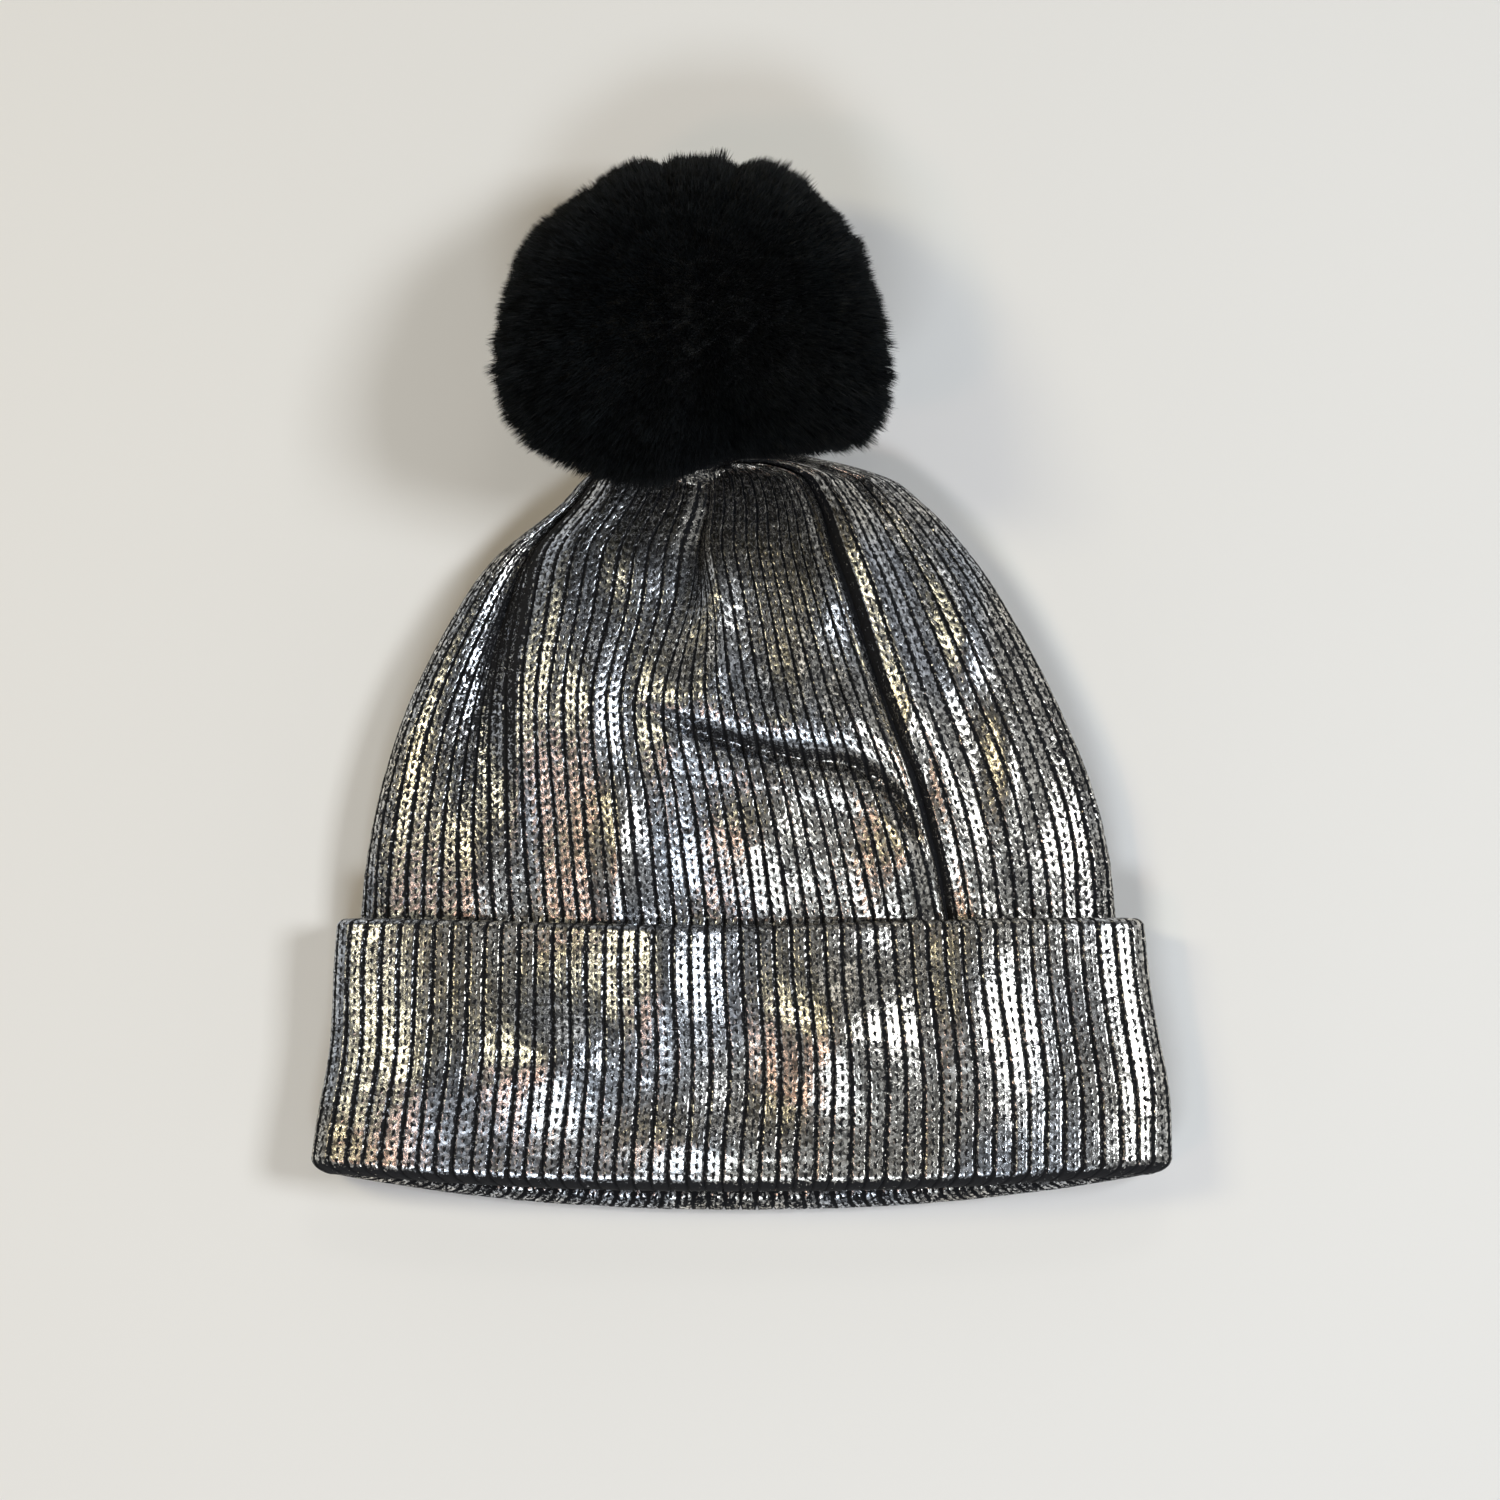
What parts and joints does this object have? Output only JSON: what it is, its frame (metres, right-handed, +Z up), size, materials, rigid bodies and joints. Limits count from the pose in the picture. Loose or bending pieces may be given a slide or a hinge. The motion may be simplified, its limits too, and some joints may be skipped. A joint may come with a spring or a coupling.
{
  "type": "knit beanie with pompom",
  "caption": "Foil-coated ribbed knit beanie lying flat, with a deep turned-up cuff, gathered crown and a black faux-fur pompom on a press snap",
  "frame": {"origin": "on the table under the middle of the outline of the hat and its pompom, where the hat lies flat on its back", "axes": "+Z is up out of the flattened front, +Y runs from the mouth to the pompom, +X is to the right seen from above with the pompom away"},
  "size_m": [0.236, 0.2818, 0.0959],
  "materials": {
    "foil_knit": "black 1x1 rib knit under crinkled silver foil, bright on the raised stitches and dark in the valleys",
    "black_knit": "matte black rib knit",
    "seam_yarn": "matte black twisted yarn",
    "satin": "blank off-white satin ribbon",
    "felt": "black needle felt",
    "fur_backing": "black knitted backing cloth",
    "stuffing": "white polyester fibre fill",
    "faux_fur": "dense black faux fur with a soft sheen",
    "snap_metal": "dark nickel plate",
    "spring_wire": "bright spring wire"
  },
  "bodies": {
    "hat": {"crown_shell": "foil_knit", "back_seam": "seam_yarn", "crown_lining": "black_knit", "lining_seam": "seam_yarn", "cuff": "foil_knit", "cuff_seam": "seam_yarn", "cuff_backing": "black_knit", "care_label": "satin"},
    "gather_ring": {"gather_yarn": "seam_yarn"},
    "tip": {"crown_tip": "foil_knit", "tip_patch": "felt", "snap_cap": "snap_metal", "snap_socket": "snap_metal"},
    "spring": {"snap_spring": "spring_wire"},
    "pompom": {"snap_stud": "snap_metal", "snap_eyelet": "snap_metal", "pom_base": "felt", "pom_tie": "seam_yarn", "pom_skin": "fur_backing", "pom_stuffing": "stuffing", "pom_fur": "faux_fur"}
  },
  "joints": [
    {"name": "pom_side_lean", "type": "hinge", "parent": "hat", "child": "gather_ring", "pos_m": [-0.013, 0.06012, 0.01505], "axis": [0, -0.7071, 0.7071], "range_deg": [-15, 15], "stiffness_Nm_per_rad": 0.15},
    {"name": "pom_back_lean", "type": "hinge", "parent": "gather_ring", "child": "tip", "pos_m": [-0.013, 0.06012, 0.01505], "axis": [1, 0, 0], "range_deg": [0, 25], "stiffness_Nm_per_rad": 0.15},
    {"name": "pom_swivel", "type": "hinge", "parent": "tip", "child": "spring", "pos_m": [-0.013, 0.06839, 0.02332], "axis": [0, 0.7071, 0.7071], "continuous": true},
    {"name": "pom_pull_off", "type": "slide", "parent": "spring", "child": "pompom", "axis": [0, 0.7071, 0.7071], "range_m": [0, 0.06]}
  ]
}
